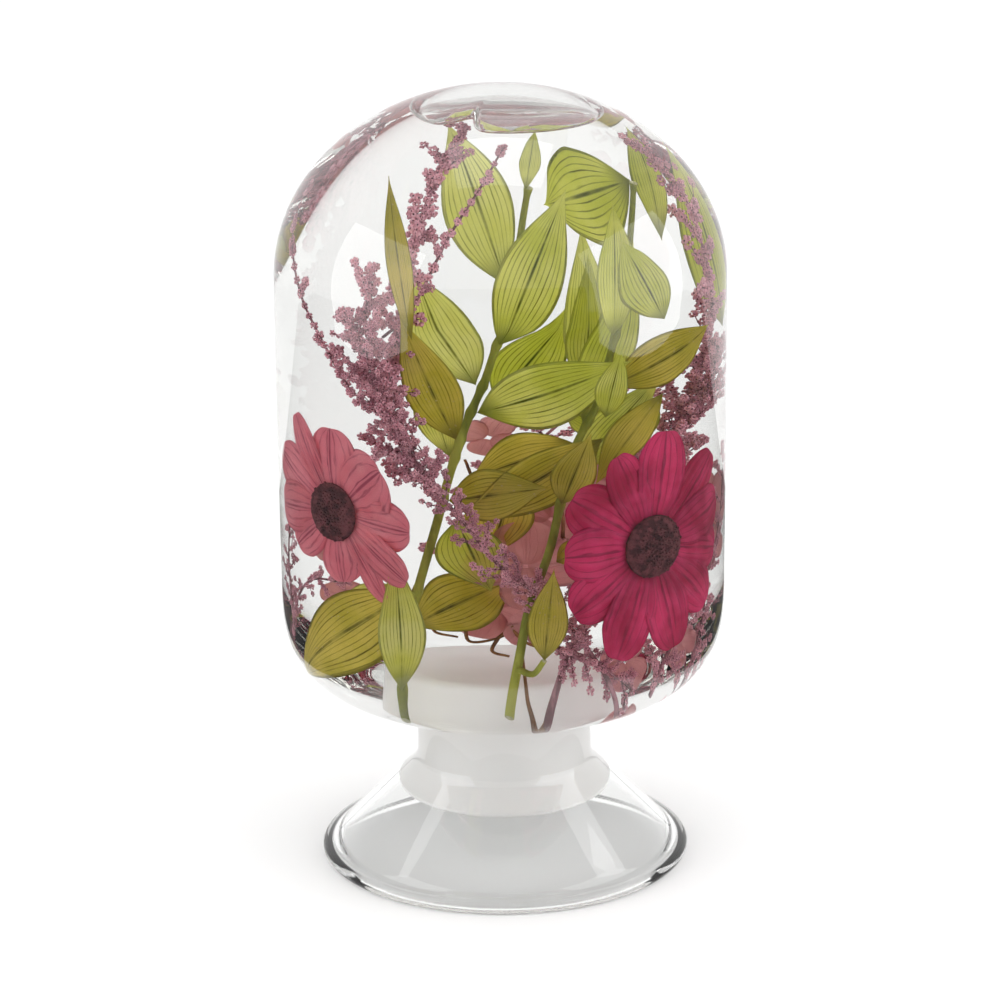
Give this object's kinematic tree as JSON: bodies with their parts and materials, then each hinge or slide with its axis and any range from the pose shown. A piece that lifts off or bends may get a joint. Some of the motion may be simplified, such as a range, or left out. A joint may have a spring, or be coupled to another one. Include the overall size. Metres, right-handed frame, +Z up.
{
  "type": "preserved flower glass dome",
  "caption": "Clear domed glass vessel on a flared foot, filled with clear liquid and closed from below, displaying preserved flowers, leaves and dried sprays.",
  "frame": {"origin": "centre of the foot's rim, on the surface it stands on", "axes": "+Z up along the vessel's axis, -Y towards the viewer, +X to the viewer's right"},
  "size_m": [0.11, 0.11, 0.195],
  "materials": {
    "glass": "clear blown glass, polished, smooth",
    "liquid": "clear still preserving oil filling the vessel",
    "silicone": "slightly translucent white moulded silicone, satin",
    "stem": "preserved green plant stem, fibrous, satin",
    "leaf": "thin translucent preserved leaf with parallel veins",
    "olive_leaf": "thin translucent preserved leaf, olive brown, parallel veins",
    "crimson_petal": "translucent crimson petal with fine lengthwise veins",
    "rose_petal": "translucent dusty rose petal with fine lengthwise veins",
    "flower_disc": "dark wine flower centre of tiny packed florets",
    "sprig": "dusty mauve dyed spray with granular buds",
    "floret": "thin translucent blush hydrangea bract",
    "twig": "thin dry brown twig, matte"
  },
  "bodies": {
    "root": {"glass_vessel": "glass", "stopper": "silicone", "left_stem": "stem", "right_stem": "stem", "left_stem_leaf_1": "leaf", "left_stem_leaf_2": "leaf", "left_stem_leaf_3": "leaf", "left_stem_leaf_4": "leaf", "left_stem_leaf_5": "olive_leaf", "left_stem_leaf_6": "leaf", "left_stem_leaf_7": "olive_leaf", "left_stem_leaf_8": "olive_leaf", "left_stem_leaf_9": "olive_leaf", "left_stem_leaf_10": "leaf", "left_stem_leaf_11": "leaf", "left_stem_leaf_12": "leaf", "right_stem_leaf_1": "leaf", "right_stem_leaf_2": "olive_leaf", "right_stem_leaf_3": "leaf", "right_stem_leaf_4": "leaf", "right_stem_leaf_5": "olive_leaf", "right_stem_leaf_6": "leaf", "right_stem_leaf_7": "leaf", "right_stem_leaf_8": "leaf", "right_stem_leaf_9": "leaf", "right_stem_leaf_10": "olive_leaf", "right_stem_leaf_11": "olive_leaf", "right_stem_leaf_12": "leaf", "loose_leaf_1": "olive_leaf", "crimson_daisy_petal_01": "crimson_petal", "crimson_daisy_petal_02": "crimson_petal", "crimson_daisy_petal_03": "crimson_petal", "crimson_daisy_petal_04": "crimson_petal", "crimson_daisy_petal_05": "crimson_petal", "crimson_daisy_petal_06": "crimson_petal", "crimson_daisy_petal_07": "crimson_petal", "crimson_daisy_petal_08": "crimson_petal", "crimson_daisy_petal_09": "crimson_petal", "crimson_daisy_petal_10": "crimson_petal", "crimson_daisy_petal_11": "crimson_petal", "crimson_daisy_disc": "flower_disc", "rose_daisy_petal_01": "rose_petal", "rose_daisy_petal_02": "rose_petal", "rose_daisy_petal_03": "rose_petal", "rose_daisy_petal_04": "rose_petal", "rose_daisy_petal_05": "rose_petal", "rose_daisy_petal_06": "rose_petal", "rose_daisy_petal_07": "rose_petal", "rose_daisy_petal_08": "rose_petal", "rose_daisy_petal_09": "rose_petal", "rose_daisy_disc": "flower_disc", "sprig_front": "sprig", "sprig_left_tall": "sprig", "sprig_left_slim": "sprig", "sprig_left_outer": "sprig", "sprig_right_tall": "sprig", "sprig_low_right": "sprig", "sprig_low_front": "sprig", "hydrangea_twig": "twig"}
  },
  "joints": []
}
